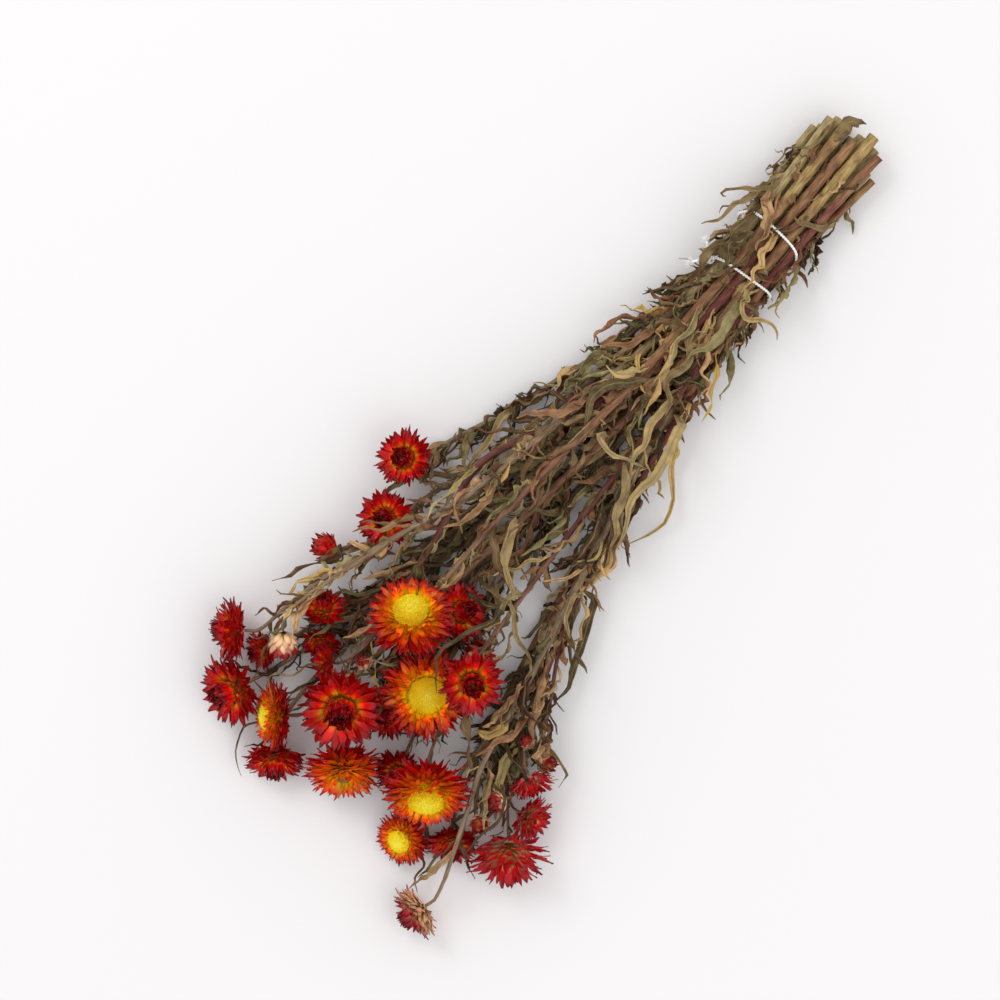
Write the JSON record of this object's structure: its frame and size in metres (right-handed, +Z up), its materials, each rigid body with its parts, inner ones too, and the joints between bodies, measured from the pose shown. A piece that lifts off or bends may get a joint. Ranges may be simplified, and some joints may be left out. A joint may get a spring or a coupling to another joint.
{
  "type": "dried strawflower bunch",
  "caption": "Bunch of dried strawflowers lying flat: leafy dry stems bound with string, with papery red and orange heads fanned out at one end.",
  "frame": {"origin": "middle of the bunch's bounding box, on the surface that it lies on", "axes": "+X from the cut stem ends to the flower heads, +Z up, +Y across the bunch"},
  "size_m": [0.498, 0.2295, 0.0713],
  "materials": {
    "crimson_bracts": "papery, slightly glossy",
    "orange_bracts": "papery, slightly glossy",
    "pink_bracts": "papery, slightly glossy",
    "olive_stem": "dry, matte",
    "brown_stem": "dry, matte",
    "red_brown_stem": "dry, matte",
    "string": "matte cotton"
  },
  "bodies": {
    "root": {"bloom_01": "crimson_bracts", "bloom_02": "crimson_bracts", "bloom_03": "orange_bracts", "bloom_04": "crimson_bracts", "bloom_05": "crimson_bracts", "bloom_06": "orange_bracts", "bloom_07": "crimson_bracts", "bloom_08": "crimson_bracts", "bloom_09": "crimson_bracts", "bloom_10": "pink_bracts", "bloom_11": "crimson_bracts", "bloom_12": "pink_bracts", "bloom_13": "orange_bracts", "bloom_14": "crimson_bracts", "bloom_15": "orange_bracts", "bloom_16": "crimson_bracts", "bloom_17": "crimson_bracts", "bloom_18": "orange_bracts", "bloom_19": "orange_bracts", "bloom_20": "crimson_bracts", "bloom_21": "crimson_bracts", "bloom_22": "crimson_bracts", "bloom_23": "crimson_bracts", "bloom_24": "crimson_bracts", "bloom_25": "pink_bracts", "bloom_26": "pink_bracts", "bloom_27": "pink_bracts", "bloom_28": "pink_bracts", "bloom_29": "crimson_bracts", "bloom_30": "crimson_bracts", "bloom_31": "crimson_bracts", "bloom_32": "pink_bracts", "bloom_33": "pink_bracts", "stem_01": "olive_stem", "stem_02": "olive_stem", "stem_03": "olive_stem", "stem_04": "olive_stem", "stem_05": "olive_stem", "stem_06": "brown_stem", "stem_07": "red_brown_stem", "stem_08": "olive_stem", "stem_09": "brown_stem", "stem_10": "olive_stem", "stem_11": "olive_stem", "stem_12": "olive_stem", "stem_13": "red_brown_stem", "stem_14": "olive_stem", "stem_15": "brown_stem", "stem_16": "red_brown_stem", "tie": "string"}
  },
  "joints": []
}
